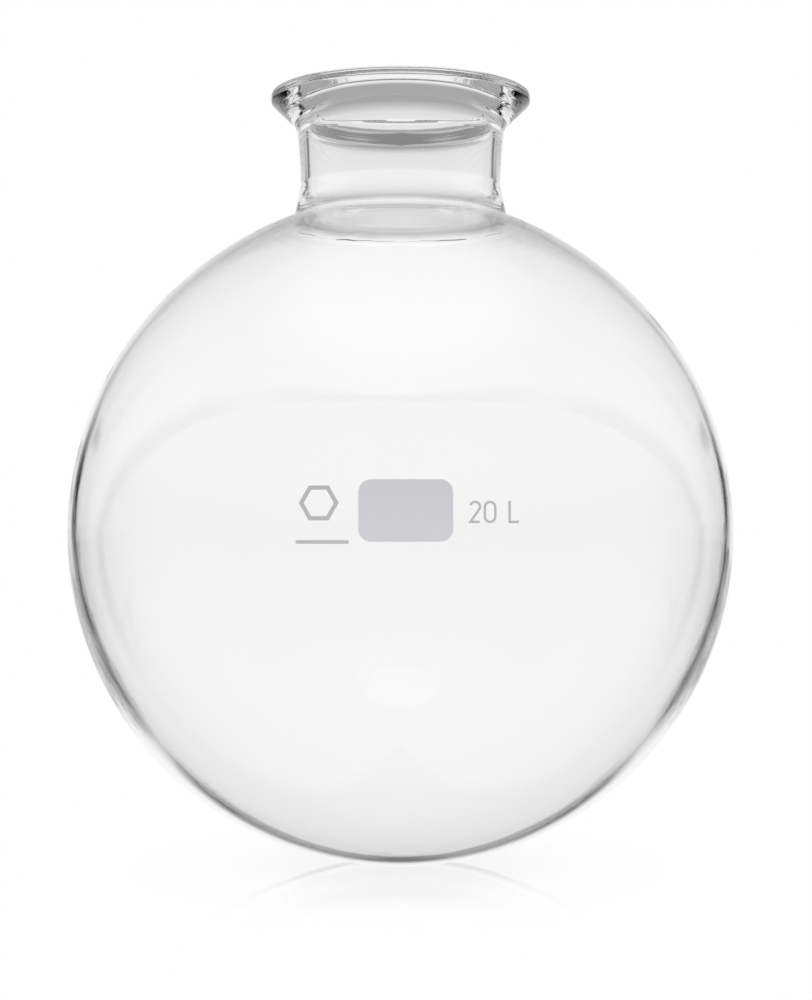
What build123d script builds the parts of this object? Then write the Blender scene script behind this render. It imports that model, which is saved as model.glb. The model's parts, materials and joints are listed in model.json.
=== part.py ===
from build123d import *
import math
import os

# Round bottom flask in clear borosilicate glass: a blown 20 litre bulb, a worked shoulder,
# a short wide neck and a DN 100 flat flange. Millimetres. The origin is the lowest point
# of the bulb, +Z runs up the neck, and the fired print on the bulb faces -Y.

# Driving dimensions: the bulb
BULB_RADIUS = 175.0
CROWN_RADIUS = 190.0       # the top of the bulb is drawn up a little towards the neck
CROWN_LATITUDE = 40        # degrees, where the flatter crown begins
THIN_WALL = 3.6            # the bulb's wall over most of its area
THICK_ZONE_GLASS = 3.0     # extra glass where the wall is thickest
THICK_ZONE_LATITUDE = -40  # degrees, on the lower half
THICK_ZONE_SPREAD = 32     # degrees
WALL_STEP = 13             # degrees between the places that shape the bulb's inside
SHOULDER_LATITUDE = 65     # degrees: the bulb ends here and the worked shoulder begins
SHOULDER_ROOT_RADIUS = 56.7  # where the shoulder's taper would meet the bulb
SHOULDER_FILLET = 5.0
INNER_SHOULDER_FILLET = 18.0

# Driving dimensions: the neck and the flange
WAIST_RADIUS = 53.2
WAIST_HEIGHT = 359.2       # the neck is fused to the shoulder at its narrowest place
WAIST_FILLET = 8.0
NECK_CURVE = 220.0         # radius of the neck's gentle outward sweep above the waist
INNER_WAIST_RADIUS = 48.6
NECK_TOP_HEIGHT = 386.5    # the neck tube ends here and the pressed flange begins
THROAT_RADIUS = 49.8
THROAT_BLEND = 40.0        # eases the neck's flare into the straight throat
FLANGE_FACE_HEIGHT = 408.5
FLANGE_RADIUS = 69.0
RIM_HEIGHT = 4.6           # straight edge of the flange, with its two roundings
RIM_ROUNDING = 1.6
MOUTH_ROUNDING = 2.2
BEVEL_ROOT_HEIGHT = 391.4  # where the bevel under the flange would meet the neck
BEVEL_FILLET = 10.0

# Driving dimensions: the fired print, placed from the bulb's centre
ENAMEL = 0.2
PANEL_WIDTH = 42.2
PANEL_HEIGHT = 27.8
PANEL_CORNER = 5.8
PANEL_CENTRE = (2.3, 9.6)
STROKE = 1.1
FIGURE_HEIGHT = 10.0
FIGURE_BASE = 4.0
TWO_LEFT = 30.5
TWO_WIDTH = 5.4
ZERO_LEFT = 37.0
ZERO_WIDTH = 5.8
LITRE_LEFT = 48.2
LITRE_WIDTH = 4.8
MARK_CENTRE = (-36.5, 13.0)
MARK_RADIUS = 9.0
MARK_STROKE = 2.2
BAR_CENTRE = (-35.0, -4.4)
BAR_LENGTH = 24.0
BAR_WIDTH = 1.6


def bulb_wall(latitude):
    """Wall thickness of the bulb at a latitude in degrees."""
    away = (latitude - THICK_ZONE_LATITUDE) / THICK_ZONE_SPREAD
    return THIN_WALL + THICK_ZONE_GLASS * math.exp(-away * away)


def polar(centre, radius, degrees):
    """Point of a half section at a distance and an angle from a centre, as (radius, height)."""
    angle = math.radians(degrees)
    return (centre[0] + radius * math.cos(angle), centre[1] + radius * math.sin(angle))


def arc_to(start, centre, radius, end):
    """Arc of a half section from one point to another about a centre."""
    first, last = [math.atan2(p[1] - centre[1], p[0] - centre[0]) for p in (start, end)]
    return ThreePointArc(start, polar(centre, radius, math.degrees((first + last) / 2)), end)


def height_on_arc(centre, radius, across):
    """Height of the upper half of an arc at a distance from the flask's axis."""
    return centre[1] + math.sqrt(radius**2 - (across - centre[0]) ** 2)


def flare(waist, radius, top):
    """Arc that leaves the waist upright and sweeps outward to a height."""
    turn = math.degrees(math.asin((top - waist[1]) / radius))
    centre = (waist[0] + radius, waist[1])
    return ThreePointArc(waist, polar(centre, radius, 180 - turn / 2), polar(centre, radius, 180 - turn))


BULB_CENTRE = (0, BULB_RADIUS)
CROWN_CENTRE = polar(BULB_CENTRE, BULB_RADIUS - CROWN_RADIUS, CROWN_LATITUDE)


def corner_near(face, radius, height):
    """The vertex of a half section that is nearest to a point."""
    target = Plane.XZ.from_local_coords(Vector(radius, height))
    return min(face.vertices(), key=lambda v: (Vector(v) - target).length)


def rounded(face, radius, height, rounding):
    """The same half section with one corner rounded."""
    return fillet(corner_near(face, radius, height), rounding)


def outer_section():
    """Half section of the flask's outside, filled to the axis."""
    bevel_top = FLANGE_FACE_HEIGHT - RIM_HEIGHT
    crown_start = polar(BULB_CENTRE, BULB_RADIUS, CROWN_LATITUDE)
    root = (SHOULDER_ROOT_RADIUS, height_on_arc(CROWN_CENTRE, CROWN_RADIUS, SHOULDER_ROOT_RADIUS))
    waist = (WAIST_RADIUS, WAIST_HEIGHT)
    neck_sweep = flare(waist, NECK_CURVE, BEVEL_ROOT_HEIGHT)
    bevel_root = tuple(neck_sweep @ 1)[:2]
    section = Plane.XZ * make_face([
        arc_to((0, 0), BULB_CENTRE, BULB_RADIUS, crown_start),
        arc_to(crown_start, CROWN_CENTRE, CROWN_RADIUS, root),
        Line(root, waist),
        neck_sweep,
        Polyline(
            bevel_root,
            (FLANGE_RADIUS, bevel_top),
            (FLANGE_RADIUS, FLANGE_FACE_HEIGHT),
            (0, FLANGE_FACE_HEIGHT),
            (0, 0),
        ),
    ])
    section = rounded(section, *root, SHOULDER_FILLET)
    section = rounded(section, *waist, WAIST_FILLET)
    section = rounded(section, *bevel_root, BEVEL_FILLET)
    section = rounded(section, FLANGE_RADIUS, bevel_top, RIM_ROUNDING)
    return rounded(section, FLANGE_RADIUS, FLANGE_FACE_HEIGHT, RIM_ROUNDING)


def inner_section():
    """Half section of the space inside the flask."""
    latitudes = range(-90, CROWN_LATITUDE + 1, WALL_STEP)
    lower = Spline(
        [polar(BULB_CENTRE, BULB_RADIUS - bulb_wall(a), a) for a in latitudes],
        tangents=[(1, 0), polar((0, 0), 1, CROWN_LATITUDE + 90)],
    )
    inner_crown = CROWN_RADIUS - THIN_WALL
    throat_root = (INNER_WAIST_RADIUS, height_on_arc(CROWN_CENTRE, inner_crown, INNER_WAIST_RADIUS))
    waist = (INNER_WAIST_RADIUS, WAIST_HEIGHT)
    throat_end = (THROAT_RADIUS, NECK_TOP_HEIGHT)
    widening, rise = THROAT_RADIUS - INNER_WAIST_RADIUS, NECK_TOP_HEIGHT - WAIST_HEIGHT
    section = Plane.XZ * make_face([
        lower,
        arc_to(tuple(lower @ 1)[:2], CROWN_CENTRE, inner_crown, throat_root),
        Line(throat_root, waist),
        flare(waist, (rise**2 + widening**2) / (2 * widening), NECK_TOP_HEIGHT),
        Polyline(throat_end, (THROAT_RADIUS, FLANGE_FACE_HEIGHT), (0, FLANGE_FACE_HEIGHT), lower @ 0),
    ])
    section = rounded(section, *throat_root, INNER_SHOULDER_FILLET)
    return rounded(section, *throat_end, THROAT_BLEND)


def glass_section():
    """Half section of the glass wall from the bottom to the flange face."""
    wall = outer_section() - inner_section()
    return rounded(wall, THROAT_RADIUS, FLANGE_FACE_HEIGHT, MOUTH_ROUNDING)


def band(low, high):
    """Half section region between two heights."""
    return Plane.XZ * Pos(BULB_RADIUS, (low + high) / 2) * Rectangle(2 * BULB_RADIUS, high - low)


def shoulder_cone():
    """Half section region above the cone through the bulb's centre at the shoulder's latitude."""
    reach = 2 * BULB_RADIUS
    angle = math.radians(SHOULDER_LATITUDE)
    edge = (reach * math.cos(angle), BULB_RADIUS + reach * math.sin(angle))
    return Plane.XZ * make_face(Polyline((0, BULB_RADIUS), edge, (0, edge[1]), close=True))


def turned(section):
    """Solid of revolution of a half section about the flask's axis."""
    return revolve(section, Axis.Z)


def fired_print(outline):
    """Thin layer of enamel on the front of the bulb under a flat outline."""
    centre = Pos(0, 0, BULB_RADIUS)
    skin = centre * (Sphere(BULB_RADIUS + ENAMEL) - Sphere(BULB_RADIUS))
    facing = Plane(origin=(0, 0, BULB_RADIUS), x_dir=(1, 0, 0), z_dir=(0, -1, 0))
    return extrude(facing * outline, 2 * BULB_RADIUS) & skin


def figure_two():
    """The figure 2: a round top, a slanted stem and a straight foot."""
    half = STROKE / 2
    left, right = TWO_LEFT + half, TWO_LEFT + TWO_WIDTH - half
    foot, top = FIGURE_BASE + half, FIGURE_BASE + FIGURE_HEIGHT - half
    radius = (right - left) / 2
    bowl = CenterArc((left + radius, top - radius), radius, -30, 195)
    stem = Line(bowl @ 0, (left, foot))
    return trace([bowl, stem, Line((left, foot), (right, foot))], STROKE)


def figure_zero():
    """The figure 0: an upright ring with straight sides."""
    outer = RectangleRounded(ZERO_WIDTH, FIGURE_HEIGHT, ZERO_WIDTH / 2 - 0.01)
    width, height = ZERO_WIDTH - 2 * STROKE, FIGURE_HEIGHT - 2 * STROKE
    hole = RectangleRounded(width, height, width / 2 - 0.01)
    return Pos(ZERO_LEFT + ZERO_WIDTH / 2, FIGURE_BASE + FIGURE_HEIGHT / 2) * (outer - hole)


def litre_sign():
    """The litre sign: an upright and a foot."""
    upright = Rectangle(STROKE, FIGURE_HEIGHT, align=(Align.MIN, Align.MIN))
    foot = Rectangle(LITRE_WIDTH, STROKE, align=(Align.MIN, Align.MIN))
    return Pos(LITRE_LEFT, FIGURE_BASE) * (upright + foot)


def maker_mark():
    """A plain hexagon ring over a plain bar."""
    ring = RegularPolygon(MARK_RADIUS, 6) - RegularPolygon(MARK_RADIUS - MARK_STROKE, 6)
    bar = SlotOverall(BAR_LENGTH, BAR_WIDTH)
    return [Pos(*MARK_CENTRE) * ring, Pos(*BAR_CENTRE) * bar]


def capacity_mark():
    """The capacity in litres: a 2, a 0 and the litre sign."""
    return Compound([fired_print(figure) for figure in (figure_two(), figure_zero(), litre_sign())])


def writing_panel():
    """The white field for pencil notes."""
    return fired_print(Pos(*PANEL_CENTRE) * RectangleRounded(PANEL_WIDTH, PANEL_HEIGHT, PANEL_CORNER))


def build_parts():
    """Every sub-part of the flask, by node name."""
    glass = glass_section()
    above_bulb = shoulder_cone()
    return {
        "bulb": turned(glass - above_bulb - band(WAIST_HEIGHT, 2 * FLANGE_FACE_HEIGHT)),
        "shoulder": turned(glass & above_bulb & band(0, WAIST_HEIGHT)),
        "neck": turned(glass & band(WAIST_HEIGHT, NECK_TOP_HEIGHT)),
        "flange": turned(glass & band(NECK_TOP_HEIGHT, FLANGE_FACE_HEIGHT)),
        "writing_panel": writing_panel(),
        "capacity_mark": capacity_mark(),
        "maker_mark": Compound([fired_print(shape) for shape in maker_mark()]),
    }


os.makedirs("parts", exist_ok=True)
for node, shape in build_parts().items():
    export_step(shape, f"parts/{node}.step")
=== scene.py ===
import json
import math

import bpy
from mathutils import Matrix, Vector


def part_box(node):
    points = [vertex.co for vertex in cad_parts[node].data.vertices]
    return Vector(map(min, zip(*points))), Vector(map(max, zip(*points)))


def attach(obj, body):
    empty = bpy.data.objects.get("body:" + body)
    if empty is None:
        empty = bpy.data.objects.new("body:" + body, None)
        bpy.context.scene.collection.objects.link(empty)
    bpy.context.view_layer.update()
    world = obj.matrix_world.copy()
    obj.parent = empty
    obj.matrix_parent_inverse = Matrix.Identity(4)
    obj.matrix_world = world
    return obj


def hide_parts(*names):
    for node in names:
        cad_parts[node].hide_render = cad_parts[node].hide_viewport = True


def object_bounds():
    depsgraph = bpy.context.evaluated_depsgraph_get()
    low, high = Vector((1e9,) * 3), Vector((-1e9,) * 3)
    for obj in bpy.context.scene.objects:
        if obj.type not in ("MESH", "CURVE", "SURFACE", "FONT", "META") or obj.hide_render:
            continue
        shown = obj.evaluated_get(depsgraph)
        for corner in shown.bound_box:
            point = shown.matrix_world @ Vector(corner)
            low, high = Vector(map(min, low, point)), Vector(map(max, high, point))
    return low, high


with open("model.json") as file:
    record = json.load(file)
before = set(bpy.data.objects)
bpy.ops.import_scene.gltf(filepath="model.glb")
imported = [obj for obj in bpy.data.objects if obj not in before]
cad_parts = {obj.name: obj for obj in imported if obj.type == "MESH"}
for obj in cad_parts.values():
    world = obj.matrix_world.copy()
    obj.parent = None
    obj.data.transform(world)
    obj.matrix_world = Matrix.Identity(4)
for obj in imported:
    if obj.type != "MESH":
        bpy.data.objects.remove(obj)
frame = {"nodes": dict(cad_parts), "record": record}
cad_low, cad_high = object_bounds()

# Round bottom flask: the glass, the fired print, the studio and the camera. Metres.
# The glass is turned from one meridian outline, so that light passes smoothly from each
# fused piece into the next.

MM = 0.001
mounts = {mount["name"]: mount for mount in frame["record"]["mounts"]}

# Places and sizes that the frame gives
bulb_low, bulb_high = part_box("bulb")
neck_low, neck_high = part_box("neck")
BULB_RADIUS = (bulb_high.x - bulb_low.x) / 2
BULB_CENTRE = Vector((0, bulb_low.z + BULB_RADIUS))
FACE_HEIGHT = mounts["flange_face"]["pos_m"][2]
FLANGE_RADIUS = mounts["flange_rim"]["dims"]["r_mm"] * MM
THROAT_RADIUS = mounts["throat"]["dims"]["r_mm"] * MM
WAIST_HEIGHT = neck_low.z
NECK_TOP = neck_high.z

# Shape of the wall, as in the CAD model
CROWN_RADIUS = 190.0 * MM
CROWN_LATITUDE = math.radians(40)
THIN_WALL = 3.6 * MM
THICK_ZONE_GLASS = 3.0 * MM
THICK_ZONE_LATITUDE = math.radians(-40)
THICK_ZONE_SPREAD = math.radians(32)
SHOULDER_LATITUDE = math.radians(65)
SHOULDER_ROOT_RADIUS = 56.7 * MM
SHOULDER_FILLET = 5.0 * MM
INNER_SHOULDER_FILLET = 18.0 * MM
WAIST_RADIUS = 53.2 * MM
WAIST_FILLET = 8.0 * MM
NECK_CURVE = 220.0 * MM
INNER_WAIST_RADIUS = 48.6 * MM
THROAT_BLEND = 40.0 * MM
RIM_HEIGHT = 4.6 * MM
RIM_ROUNDING = 1.6 * MM
MOUTH_ROUNDING = 2.2 * MM
BEVEL_ROOT_HEIGHT = 391.4 * MM
BEVEL_FILLET = 10.0 * MM

# Fine rings that the forming tools leave on the outside: how steep they are at some heights,
# and the wavelength, share and phase of the waves that they are made of
RING_SLOPES = (
    (328.0 * MM, 0.0),
    (337.0 * MM, 0.09),
    (349.0 * MM, 0.09),
    (356.0 * MM, 0.02),
    (364.0 * MM, 0.008),
    (380.0 * MM, 0.010),
    (388.0 * MM, 0.10),
    (401.0 * MM, 0.13),
    (403.4 * MM, 0.0),
)
RING_WAVES = (
    (1.4 * MM, 0.35, 0.4),
    (2.1 * MM, 0.50, 1.7),
    (3.4 * MM, 0.50, 2.9),
    (6.1 * MM, 0.35, 5.1),
)
RING_STEP = 0.25 * MM
FAINTEST_RING = 0.12

# Material slots of a turned piece
GLASS_SLOT, FUSED_SLOT = 0, 1

# How finely the glass is turned, and how near to each other two points are the same
SAME_PLACE = 1e-6
SEGMENTS = 320
ARC_STEP = math.radians(3)
BULB_STEP = math.radians(1.2)
LINE_STEP = 2.0 * MM
LONGEST_STEP = 4.2 * MM
ROUNDING_TRIES = 20


# The meridian outline runs up the outside, over the flange and down the inside, with the
# glass on its left. It is made of stretches: straight lines and arcs of a circle.

def polar(centre, radius, angle):
    """The place at an angle and a distance from a centre."""
    return Vector((centre.x + radius * math.cos(angle), centre.y + radius * math.sin(angle)))


class Line:
    """A straight stretch."""

    def __init__(self, start, end):
        self.start, self.end = start, end
        along = (end - start).normalized()
        self.inward = Vector((-along.y, along.x))

    def depth(self, place):
        """How far a place lies on the glass side, and the direction in which that grows."""
        return (place - self.start).dot(self.inward), self.inward

    def points(self, start, end):
        """Outline points from one place to another: the place and the outward normal."""
        count = max(1, math.ceil((end - start).length / LINE_STEP))
        return [(start.lerp(end, i / count), -self.inward) for i in range(count + 1)]


class Arc:
    """A stretch of a circle. On a hollow arc the air is on the centre's side."""

    def __init__(self, centre, radius, start, end, hollow=False):
        self.centre, self.radius, self.start, self.end = centre, radius, start, end
        self.facing = -1 if hollow else 1

    def depth(self, place):
        """As on a straight stretch."""
        out = place - self.centre
        return self.facing * (self.radius - out.length), -self.facing * out.normalized()

    def points(self, start, end):
        """As on a straight stretch, along the shorter way round."""
        first = math.atan2(*reversed(start - self.centre))
        turn = math.atan2(*reversed(end - self.centre)) - first
        turn = (turn + math.pi) % (2 * math.pi) - math.pi
        step = min(ARC_STEP, LONGEST_STEP / self.radius)
        count = max(2, math.ceil(abs(turn) / step))
        angles = [first + turn * i / count for i in range(count + 1)]
        origin = Vector((0, 0))
        return [
            (polar(self.centre, self.radius, angle), self.facing * polar(origin, 1, angle))
            for angle in angles
        ]


def rounding_centre(before, after, corner, depth):
    """Centre of the rounding between two stretches: the place that is as deep under both."""
    centre = corner.copy()
    for _ in range(ROUNDING_TRIES):
        (near, inward), (far, aside) = before.depth(centre), after.depth(centre)
        near, far = depth - near, depth - far
        scale = inward.x * aside.y - inward.y * aside.x
        centre += Vector((near * aside.y - far * inward.y, far * inward.x - near * aside.x)) / scale
    return centre


def outline(stretches, roundings):
    """Points along stretches whose corners are rounded: outward at a ridge, inward at a hollow."""
    points, last = [], stretches[0].start
    for before, after, rounding in zip(stretches, stretches[1:], roundings):
        corner = after.start
        if rounding == 0:
            points += before.points(last, corner)
            last = corner
            continue
        ahead, aside = before.depth(corner)[1], after.depth(corner)[1]
        ridge = 1 if ahead.x * aside.y - ahead.y * aside.x > 0 else -1
        centre = rounding_centre(before, after, corner, ridge * rounding)
        arc = Arc(centre, rounding, None, None, hollow=ridge < 0)
        start = centre - ridge * rounding * before.depth(centre)[1]
        end = centre - ridge * rounding * after.depth(centre)[1]
        points += before.points(last, start) + arc.points(start, end)
        last = end
    return points + stretches[-1].points(last, stretches[-1].end)


def bulb_wall(latitude):
    """Thickness of the bulb's wall at a latitude."""
    away = (latitude - THICK_ZONE_LATITUDE) / THICK_ZONE_SPREAD
    return THIN_WALL + THICK_ZONE_GLASS * math.exp(-away * away)


def inner_place(latitude):
    """The place on the bulb's inner surface at a latitude."""
    return polar(BULB_CENTRE, BULB_RADIUS - bulb_wall(latitude), latitude)


def inner_bulb_points(start, end):
    """Points down the bulb's inner surface, with normals across its slope."""
    count = math.ceil((start - end) / BULB_STEP)
    nudge = 1e-4
    points = []
    for i in range(count + 1):
        latitude = start + (end - start) * i / count
        along = (inner_place(latitude - nudge) - inner_place(latitude + nudge)).normalized()
        points.append((inner_place(latitude), Vector((along.y, -along.x))))
    return points


def height_on_arc(centre, radius, across):
    """Height of an arc's upper half at a distance from the axis."""
    return centre.y + math.sqrt(radius**2 - (across - centre.x) ** 2)


def flare(waist, radius, top, hollow):
    """Arc that leaves the waist upright and sweeps outward to a height."""
    centre = waist + Vector((radius, 0))
    end = polar(centre, radius, math.pi - math.asin((top - waist.y) / radius))
    ends = (waist, end) if hollow else (end, waist)
    return Arc(centre, radius, *ends, hollow=hollow)


def meridian():
    """The whole outline of the glass from the bottom outside to the bottom inside."""
    bottom = Vector((0, BULB_CENTRE.y - BULB_RADIUS))
    crown_centre = polar(BULB_CENTRE, BULB_RADIUS - CROWN_RADIUS, CROWN_LATITUDE)
    crown_start = polar(BULB_CENTRE, BULB_RADIUS, CROWN_LATITUDE)
    root_height = height_on_arc(crown_centre, CROWN_RADIUS, SHOULDER_ROOT_RADIUS)
    root = Vector((SHOULDER_ROOT_RADIUS, root_height))
    waist = Vector((WAIST_RADIUS, WAIST_HEIGHT))
    sweep = flare(waist, NECK_CURVE, BEVEL_ROOT_HEIGHT, hollow=True)
    bevel_top = Vector((FLANGE_RADIUS, FACE_HEIGHT - RIM_HEIGHT))
    rim = Vector((FLANGE_RADIUS, FACE_HEIGHT))
    mouth = Vector((THROAT_RADIUS, FACE_HEIGHT))
    throat_end = Vector((THROAT_RADIUS, NECK_TOP))
    inner_waist = Vector((INNER_WAIST_RADIUS, WAIST_HEIGHT))
    widening, rise = THROAT_RADIUS - INNER_WAIST_RADIUS, NECK_TOP - WAIST_HEIGHT
    inner_curve = (rise**2 + widening**2) / (2 * widening)
    inner_sweep = flare(inner_waist, inner_curve, NECK_TOP, hollow=False)
    inner_crown = CROWN_RADIUS - THIN_WALL
    inner_root_height = height_on_arc(crown_centre, inner_crown, INNER_WAIST_RADIUS)
    inner_root = Vector((INNER_WAIST_RADIUS, inner_root_height))
    crown_end = inner_place(CROWN_LATITUDE)
    stretches = [
        Arc(BULB_CENTRE, BULB_RADIUS, bottom, crown_start),
        Arc(crown_centre, CROWN_RADIUS, crown_start, root),
        Line(root, waist),
        sweep,
        Line(sweep.end, bevel_top),
        Line(bevel_top, rim),
        Line(rim, mouth),
        Line(mouth, throat_end),
        inner_sweep,
        Line(inner_waist, inner_root),
        Arc(crown_centre, inner_crown, inner_root, crown_end, hollow=True),
    ]
    roundings = [
        0,
        SHOULDER_FILLET,
        WAIST_FILLET,
        BEVEL_FILLET,
        RIM_ROUNDING,
        RIM_ROUNDING,
        MOUTH_ROUNDING,
        THROAT_BLEND,
        0,
        INNER_SHOULDER_FILLET,
    ]
    inside = inner_bulb_points(CROWN_LATITUDE, -math.pi / 2)
    points = outline(stretches, roundings) + inside[1:]
    return ringed(tidy_run([(*place, *normal) for place, normal in points]))


def ring_slope(point):
    """Steepness of the tool rings at an outline point: none on the inside."""
    height, out = point[1], point[2]
    if out <= 0:
        return 0
    for (low, start), (high, end) in zip(RING_SLOPES, RING_SLOPES[1:]):
        if low <= height < high:
            return start + (end - start) * (height - low) / (high - low)
    return 0


def ringed(points):
    """The outline divided finely where the tools left rings, with their rise and tilt added.

    A point becomes its radius, height, outward normal, rise and tilt.
    """
    waved, travelled = [], 0
    for first, second in zip(points, points[1:]):
        length = math.hypot(second[0] - first[0], second[1] - first[1])
        marked = ring_slope(first) or ring_slope(second)
        count = math.ceil(length / RING_STEP) if marked else 1
        for i in range(count):
            point = [p + (q - p) * i / count for p, q in zip(first, second)]
            size = math.hypot(point[2], point[3])
            rise, tilt = ring_wave(travelled + length * i / count)
            slope = ring_slope(point)
            out, up = point[2] / size, point[3] / size
            waved.append((*point[:2], out, up, slope * rise, slope * tilt))
        travelled += length
    return waved + [(*points[-1], 0, 0)]


def ring_wave(travelled):
    """Rise and tilt of rings of slope 1 at a distance along the outline."""
    rise, tilt = 0, 0
    for length, share, phase in RING_WAVES:
        turned = 2 * math.pi * travelled / length + phase
        rise -= share * length / (2 * math.pi) * math.cos(turned)
        tilt += share * math.sin(turned)
    return rise, tilt


def ring_share(angle):
    """The tools pressed harder at two opposite sides."""
    return FAINTEST_RING + (1 - FAINTEST_RING) * math.cos(angle) ** 6


def tidy_run(points):
    """The same run without points that fall on each other."""
    kept = [points[0]]
    for point in points[1:]:
        if math.hypot(point[0] - kept[-1][0], point[1] - kept[-1][1]) > SAME_PLACE:
            kept.append(point)
    return kept


def crossing(first, second, level):
    """The point between two outline points where a measure changes sign."""
    a, b = level(first), level(second)
    share = a / (a - b)
    return tuple(p + (q - p) * share for p, q in zip(first, second))


def cut_outline(points, level):
    """Splits an outline that crosses a cut twice: the part below and the part above."""
    below, above = [[]], []
    for first, second in zip(points, points[1:] + [None]):
        (above if level(first) >= 0 else below[-1]).append(first)
        if second is None or (level(first) >= 0) == (level(second) >= 0):
            continue
        middle = crossing(first, second, level)
        below[-1].append(middle)
        above.append(middle)
        if level(second) < 0:
            below.append([middle])
            above_end = len(above)
    return below, above[:above_end]


def split_glass(points):
    """Outline of each fused piece: a pair of lists, up the outside and down the inside."""
    slope = math.tan(SHOULDER_LATITUDE)
    cuts = [
        ("bulb", lambda p: (p[1] - BULB_CENTRE.y) - slope * p[0]),
        ("shoulder", lambda p: p[1] - WAIST_HEIGHT),
        ("neck", lambda p: p[1] - NECK_TOP),
    ]
    pieces = {}
    rest = points
    for name, level in cuts:
        (outside, inside), rest = cut_outline(rest, level)
        pieces[name] = (outside[:-1] + [rest[0]], inside)
    pieces["flange"] = (rest, [])
    return pieces


def turn(name, outside, inside, ends):
    """A mesh turned from a closed outline.

    ends says whether the faces that close it at the top and at the bottom are fused to a neighbour.
    """
    runs = [tidy_run(run) for run in (outside, inside) if run]
    outline = [point for run in runs for point in run]
    fused = set()
    if ends[0]:
        fused.add(len(runs[0]) - 1)
    if ends[1]:
        fused.add(len(outline) - 1)
    verts, normals, rings = [], [], []
    for radius, height, out, up, rise, tilt in outline:
        if radius < SAME_PLACE:
            rings.append([len(verts)] * SEGMENTS)
            verts.append((0, 0, height))
            normals.append((0, 0, 1 if up > 0 else -1))
            continue
        rings.append(list(range(len(verts), len(verts) + SEGMENTS)))
        for i in range(SEGMENTS):
            angle = 2 * math.pi * i / SEGMENTS
            ahead, aside, share = math.cos(angle), math.sin(angle), ring_share(angle)
            across = radius + share * rise * out
            facing = out + share * tilt * up
            verts.append((across * ahead, across * aside, height + share * rise * up))
            normal = Vector((facing * ahead, facing * aside, up - share * tilt * out))
            normals.append(normal.normalized())
    faces, slots = [], []
    for j, ring in enumerate(rings):
        following = rings[(j + 1) % len(rings)]
        if ring[0] == ring[1] and following[0] == following[1]:
            continue
        for i in range(SEGMENTS):
            k = (i + 1) % SEGMENTS
            face = [ring[i], ring[k], following[k], following[i]]
            faces.append(list(dict.fromkeys(face)))
            slots.append(FUSED_SLOT if j in fused else GLASS_SLOT)
    mesh = bpy.data.meshes.new(name)
    mesh.from_pydata(verts, [], faces)
    mesh.polygons.foreach_set("material_index", slots)
    mesh.shade_smooth()
    mesh.normals_split_custom_set_from_vertices(normals)
    piece = bpy.data.objects.new(name, mesh)
    bpy.context.scene.collection.objects.link(piece)
    return piece


# Materials

BOROSILICATE_IOR = 1.473
GLASS_WAVES = (30, 2)         # scale and detail of the noise
GLASS_WAVE_HEIGHT = 0.10 * MM
ENAMEL_GRAIN = (5200, 3)      # scale and detail of the noise
ENAMEL_CLOUDS = (90, 2)
ENAMEL_DEPTH = 0.05 * MM
ENAMEL_RELIEF = 0.25
ENAMEL_GLOSS = 0.35
ENAMEL_ROUGHNESS = (0.50, 0.65)
PALE_ENAMEL = (0.765, 0.758, 0.800)
PALE_GRAIN = 0.04
GREY_ENAMEL = (0.610, 0.602, 0.585)
GREY_GRAIN = 0.06


def new_material(name):
    """An empty node material, with its nodes and links."""
    material = bpy.data.materials.new(name)
    material.use_nodes = True
    nodes = material.node_tree.nodes
    nodes.clear()
    return material, nodes, material.node_tree.links


def clear_glass():
    """Clear borosilicate glass, a little uneven from blowing."""
    material, nodes, links = new_material("clear_glass")
    output = nodes.new("ShaderNodeOutputMaterial")
    glass = nodes.new("ShaderNodeBsdfPrincipled")
    glass.inputs["Base Color"].default_value = (1, 1, 1, 1)
    glass.inputs["Roughness"].default_value = 0.0
    glass.inputs["IOR"].default_value = BOROSILICATE_IOR
    glass.inputs["Transmission Weight"].default_value = 1.0
    coord = nodes.new("ShaderNodeTexCoord")
    unevenness = nodes.new("ShaderNodeTexNoise")
    unevenness.inputs["Scale"].default_value = GLASS_WAVES[0]
    unevenness.inputs["Detail"].default_value = GLASS_WAVES[1]
    links.new(coord.outputs["Object"], unevenness.inputs["Vector"])
    bump = nodes.new("ShaderNodeBump")
    bump.inputs["Strength"].default_value = 1.0
    bump.inputs["Distance"].default_value = GLASS_WAVE_HEIGHT
    links.new(unevenness.outputs["Fac"], bump.inputs["Height"])
    links.new(bump.outputs[0], glass.inputs["Normal"])
    links.new(glass.outputs[0], output.inputs["Surface"])
    return material


def fused_joint():
    """The face between two pieces that are fused: light passes as if it were not there."""
    material, nodes, links = new_material("fused_joint")
    output = nodes.new("ShaderNodeOutputMaterial")
    through = nodes.new("ShaderNodeBsdfTransparent")
    links.new(through.outputs[0], output.inputs["Surface"])
    return material


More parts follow.
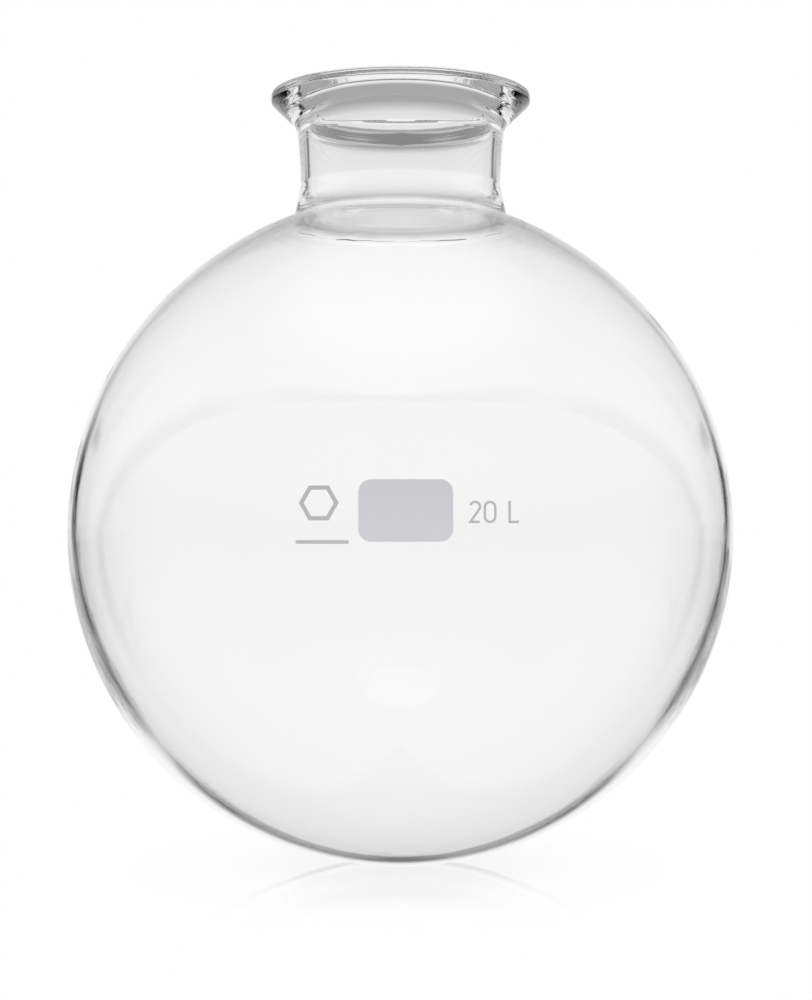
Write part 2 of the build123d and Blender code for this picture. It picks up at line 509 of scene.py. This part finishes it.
def enamel(name, colour, grain):
    """Fired enamel: matt, finely grained, a little thicker in places."""
    material, nodes, links = new_material(name)
    tree = material.node_tree
    coord = nodes.new("ShaderNodeTexCoord")
    grains = nodes.new("ShaderNodeTexNoise")
    cloud = nodes.new("ShaderNodeTexNoise")
    for noise, (scale, detail) in ((grains, ENAMEL_GRAIN), (cloud, ENAMEL_CLOUDS)):
        noise.inputs["Scale"].default_value = scale
        noise.inputs["Detail"].default_value = detail
        links.new(coord.outputs["Object"], noise.inputs["Vector"])
    fine, broad = Field(tree, grains.outputs["Fac"]), Field(tree, cloud.outputs["Fac"])
    shade = (fine - 0.5) * grain + (broad - 0.5) * (grain * 0.5) + 1.0
    tint = nodes.new("ShaderNodeVectorMath")
    tint.operation = "SCALE"
    tint.inputs[0].default_value = colour
    links.new(shade.socket, tint.inputs["Scale"])
    bump = nodes.new("ShaderNodeBump")
    bump.inputs["Strength"].default_value = ENAMEL_RELIEF
    bump.inputs["Distance"].default_value = ENAMEL_DEPTH
    links.new(fine.socket, bump.inputs["Height"])
    surface = nodes.new("ShaderNodeBsdfPrincipled")
    surface.inputs["Specular IOR Level"].default_value = ENAMEL_GLOSS
    links.new(tint.outputs[0], surface.inputs["Base Color"])
    links.new(fine.ramp(0.3, 0.7, *ENAMEL_ROUGHNESS).socket, surface.inputs["Roughness"])
    links.new(bump.outputs[0], surface.inputs["Normal"])
    output = nodes.new("ShaderNodeOutputMaterial")
    links.new(surface.outputs[0], output.inputs["Surface"])
    return material


def dress_print():
    """The print keeps its modelled shape and gets its enamel."""
    pale = enamel("pale_enamel", PALE_ENAMEL, PALE_GRAIN)
    grey = enamel("grey_enamel", GREY_ENAMEL, GREY_GRAIN)
    dressed = (("writing_panel", pale), ("capacity_mark", grey), ("maker_mark", grey))
    for name, material in dressed:
        for slot in frame["nodes"][name].material_slots:
            slot.material = material


def make_glass():
    """The four fused pieces of glass."""
    glass, joint = clear_glass(), fused_joint()
    for name, (outside, inside) in split_glass(meridian()).items():
        piece = turn(name + "_glass", outside, inside, (bool(inside), name != "bulb"))
        piece.data.materials.append(glass)
        piece.data.materials.append(joint)
        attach(piece, "root")
        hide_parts(name)


# Studio

class Field:
    """A number that shader nodes work out, written as ordinary arithmetic."""

    def __init__(self, tree, socket):
        self.tree, self.socket = tree, socket

    def feed(self, socket, value):
        """Gives a node's input a number, or links it to a field."""
        if isinstance(value, Field):
            self.tree.links.new(value.socket, socket)
        else:
            socket.default_value = value

    def math(self, kind, *others):
        """The result of a math node on this number and others."""
        node = self.tree.nodes.new("ShaderNodeMath")
        node.operation = kind
        for socket, value in zip(node.inputs, (self, *others)):
            self.feed(socket, value)
        return Field(self.tree, node.outputs[0])

    def __add__(self, other):
        return self.math("ADD", other)

    def __sub__(self, other):
        return self.math("SUBTRACT", other)

    def __mul__(self, other):
        return self.math("MULTIPLY", other)

    def __truediv__(self, other):
        return self.math("DIVIDE", other)

    def root(self):
        return self.math("SQRT")

    def larger(self, other):
        return self.math("MAXIMUM", other)

    def ramp(self, low, high, low_value, high_value, kind="SMOOTHSTEP"):
        """A change from one value to another between two levels of this number."""
        node = self.tree.nodes.new("ShaderNodeMapRange")
        node.interpolation_type = kind
        names = ("Value", "From Min", "From Max", "To Min", "To Max")
        for name, value in zip(names, (self, low, high, low_value, high_value)):
            self.feed(node.inputs[name], value)
        return Field(self.tree, node.outputs["Result"])


def blend(low, high, share):
    """The first number where share is 0 and the second where it is 1."""
    return share.ramp(0, 1, low, high, "LINEAR")


def axis_fields(tree, kind, output):
    """The x, y and z of a node's vector."""
    source = tree.nodes.new(kind)
    axes = tree.nodes.new("ShaderNodeSeparateXYZ")
    tree.links.new(source.outputs[output], axes.inputs[0])
    return [Field(tree, socket) for socket in axes.outputs]


def distance(x, y):
    """How far a place is from the vertical axis."""
    return (x * x + y * y).root()


def path_fields(tree):
    """Whether a ray comes straight from the camera, was mirrored, and crossed one wall at most."""
    path = tree.nodes.new("ShaderNodeLightPath")
    straight = Field(tree, path.outputs["Is Camera Ray"])
    mirrored = Field(tree, path.outputs["Glossy Depth"]).ramp(0.25, 0.75, 0, 1)
    near = Field(tree, path.outputs["Transmission Depth"]).ramp(2.25, 2.75, 1, 0)
    return straight, mirrored, near


# The backdrop is a white sheet with a black card on each side of it, set along a line that
# opens away from the flask, and grey beyond the cards. Levels are of light; edges are sines
# off the card's line.
SHEET = 0.935
CARD = 0.0
CARD_SLOPE = 1.72
GREY = 0.54
GREY_EDGE = (-0.146, -0.123)
CARD_EDGE = (0.034, 0.250)
SHEET_EDGE = 0.430
SHEET_START = 0.86

# The sky that is seen through the glass, from the first elevation to the second in degrees
THROUGH_RISE = (1.7, 37.0)
THROUGH_LEVELS = (1.01, 0.385)

# The sky that is seen mirrored. Rises are elevations in degrees; the others are cosines of
# the turn away from straight ahead.
BACKDROP_FADE = (-0.72, 0.60)
FRONT_RISE = (-1.4, 45.3)
FRONT_LEVEL = 0.25
FRONT_EDGE = (0.87, 0.94)
BEHIND_RISE = (32.5, 61.5)
BEHIND_LEVELS = (0.20, 0.48)
SIDE_RISE = (3.9, 15.1)
SIDE_TURN = (-0.60, 0.33)
SIDE_LEVEL = 0.577
SLAT_ENDS = ((0.68, 0.72), (0.78, 0.82))
SLAT_RISE = ((9.2, 10.4), (12.0, 13.5))
SLAT_LEVEL = 0.10
OVERHEAD_RISE = (50.0, 72.0)
LEAST_LEVEL = 1e-4

# The floor that is seen through the glass: a painted shadow where the bulb stands, in metres
PAINTED_SHADOW_EDGE = (0.006, 0.038)
PAINTED_SHADOW_LEVEL = 0.30

# The floor that is seen mirrored, painted with light and shade: a painted dark band along the cards'
# line, painted shade on the dimmer far floor, and a painted ring of light round the bulb where light
# comes in under it, in metres
CARD_BEND = 0.456
CARD_BEHIND = 0.0424
NEAREST = 0.02
FAR_EDGE = (0.236, 0.848)
FAR_SHADE_LEVEL = 0.68
GREY_END = (GREY_EDGE[1] - 0.01, GREY_EDGE[1])
GAP_RADIUS = 0.210
GAP_WIDTH = 0.059
GAP_LIGHT_SHARE = 0.78
GAP_EDGE = (-0.2, 0.3)

# The floor as the camera sees it: white, with a little polish, and a painted glow near the bulb that
# makes up for what the polish mirrors
FLOOR_SIZE = 8.0
FLOOR_SHEEN = 0.5
SHEEN_EDGE = (0.02, 0.20)
SHEEN_PAINTED_GLOW = 0.36


def backdrop(across):
    """Light of the backdrop by the distance across the card's line: negative is on the grey side."""
    grey = across.ramp(*GREY_EDGE, GREY, CARD)
    start = across.ramp(*CARD_EDGE, CARD, SHEET_START, "LINEAR")
    sheet = across.ramp(CARD_EDGE[1], SHEET_EDGE, 0, SHEET - SHEET_START, "LINEAR")
    return grey.larger(start + sheet)


def sky_through(up):
    """Sky that is seen through the glass, by elevation in degrees."""
    return up.ramp(*THROUGH_RISE, *THROUGH_LEVELS)


def sky_mirrored(x, y, up, near):
    """Sky that is seen mirrored in the glass.

    It has the backdrop, grey sides with a dark slat in each, and a soft light overhead that
    only the near wall mirrors.
    """
    level = distance(x, y).larger(LEAST_LEVEL)
    ahead, aside = y / level, x.math("ABSOLUTE") / level
    low = backdrop(ahead - aside * CARD_SLOPE) * ahead.ramp(*BACKDROP_FADE, 0, 1)
    front = blend(low, FRONT_LEVEL, up.ramp(*FRONT_RISE, 0, 1))
    behind = up.ramp(*BEHIND_RISE, *BEHIND_LEVELS)
    high = blend(SIDE_LEVEL, behind, ahead.ramp(*SIDE_TURN, 1, 0))
    side = blend(low, high, up.ramp(*SIDE_RISE, 0, 1))
    slat = ahead.ramp(*SLAT_ENDS[0], 0, 1) * ahead.ramp(*SLAT_ENDS[1], 1, 0)
    slat = slat * up.ramp(*SLAT_RISE[0], 0, 1) * up.ramp(*SLAT_RISE[1], 1, 0)
    side = blend(side, SLAT_LEVEL, slat)
    around = blend(front, side, ahead.ramp(*FRONT_EDGE, 1, 0))
    return blend(around, 1.0, up.ramp(*OVERHEAD_RISE, 0, 1) * near)


def floor_through(x, y):
    """Floor that is seen through the glass: white, with a painted shadow where the bulb stands on
    it.
    """
    return distance(x, y).ramp(*PAINTED_SHADOW_EDGE, PAINTED_SHADOW_LEVEL, 1)


def floor_mirrored(x, y):
    """Floor that is seen mirrored in the glass, with painted light and shade on it."""
    radius = distance(x, y)
    aside = x * CARD_SLOPE
    line = (aside * aside + CARD_BEND**2).root() - (CARD_BEND + CARD_BEHIND)
    across = (y - line) / radius.larger(NEAREST)
    light = backdrop(across)
    # painted shade: the far floor is dimmer
    dimmed = light * radius.ramp(*FAR_EDGE, 1, FAR_SHADE_LEVEL)
    light = blend(dimmed, light, across.ramp(*GREY_END, 0, 1))
    # painted light: a lighter ring round the bulb where light comes in under it
    away = (radius - GAP_RADIUS) / GAP_WIDTH
    gap = (away * away * -1).math("EXPONENT") * GAP_LIGHT_SHARE
    lifted = across.ramp(*GAP_EDGE, GREY, SHEET)
    return blend(light, lifted, gap)


def studio_light():
    """The world: white to the camera, and the studio's patterns in the glass."""
    world = bpy.data.worlds.new("studio")
    bpy.context.scene.world = world
    world.use_nodes = True
    tree = world.node_tree
    tree.nodes.clear()
    x, y, z = axis_fields(tree, "ShaderNodeTexCoord", "Generated")
    up = z.math("ARCSINE") * math.degrees(1)
    straight, mirrored, near = path_fields(tree)
    in_glass = blend(sky_through(up), sky_mirrored(x, y, up, near), mirrored)
    light = blend(in_glass, 1.0, straight)
    background = tree.nodes.new("ShaderNodeBackground")
    output = tree.nodes.new("ShaderNodeOutputWorld")
    background.inputs["Color"].default_value = (1, 1, 1, 1)
    tree.links.new(light.socket, background.inputs["Strength"])
    tree.links.new(background.outputs[0], output.inputs[0])


def floor():
    """The floor: white to the camera, with the bulb mirrored in it near its foot."""
    corners = ((-1, -1), (1, -1), (1, 1), (-1, 1))
    mesh = bpy.data.meshes.new("floor")
    mesh.from_pydata([(FLOOR_SIZE * x, FLOOR_SIZE * y, 0) for x, y in corners], [], [(0, 1, 2, 3)])
    plane = bpy.data.objects.new("floor", mesh)
    bpy.context.scene.collection.objects.link(plane)
    plane.location.z = cad_low.z
    material, nodes, links = new_material("floor")
    tree = material.node_tree
    x, y, _ = axis_fields(tree, "ShaderNodeNewGeometry", "Position")
    straight, mirrored, _ = path_fields(tree)
    polish = distance(x, y).ramp(*SHEEN_EDGE, FLOOR_SHEEN, 0)
    in_glass = blend(floor_through(x, y), floor_mirrored(x, y), mirrored)
    # painted light: the glow is raised where the floor is polished, so that the floor shows as white
    # there
    light = blend(in_glass, polish * SHEEN_PAINTED_GLOW + 1.0, straight)
    output = nodes.new("ShaderNodeOutputMaterial")
    glow = nodes.new("ShaderNodeEmission")
    sheen = nodes.new("ShaderNodeBsdfGlossy")
    mix = nodes.new("ShaderNodeMixShader")
    sheen.inputs["Roughness"].default_value = 0.0
    links.new(light.socket, glow.inputs["Strength"])
    links.new((straight * polish).socket, mix.inputs[0])
    links.new(glow.outputs[0], mix.inputs[1])
    links.new(sheen.outputs[0], mix.inputs[2])
    links.new(mix.outputs[0], output.inputs["Surface"])
    mesh.materials.append(material)


# The camera: how far it stands from the bulb's axis, and lengths in the picture's pixels
CAMERA_DISTANCE = 1.040
SENSOR = 36
FOCAL_PIXELS = 1951
FRAME_HEIGHT = 1000
BULB_RIGHT = -5.4
BULB_DOWN = 32.2

# How often light may pass or be thrown back by the glass
BOUNCES = 32


def camera():
    """The camera, level with the bulb's centre and turned a little off it."""
    data = bpy.data.cameras.new("camera")
    data.sensor_width = SENSOR
    data.lens = FOCAL_PIXELS * data.sensor_width / FRAME_HEIGHT
    cam = bpy.data.objects.new("camera", data)
    bpy.context.scene.collection.objects.link(cam)
    cam.location = (0, -CAMERA_DISTANCE, BULB_CENTRE.y)
    pitch = math.atan(BULB_DOWN / FOCAL_PIXELS)
    yaw = math.atan(BULB_RIGHT / FOCAL_PIXELS)
    cam.rotation_euler = (math.pi / 2 + pitch, 0, yaw)
    bpy.context.scene.camera = cam


make_glass()
dress_print()
studio_light()
floor()
camera()
scene = bpy.context.scene
scene.view_settings.view_transform = "Standard"
scene.cycles.max_bounces = BOUNCES
scene.cycles.glossy_bounces = BOUNCES
scene.cycles.transmission_bounces = BOUNCES
scene.cycles.transparent_max_bounces = BOUNCES
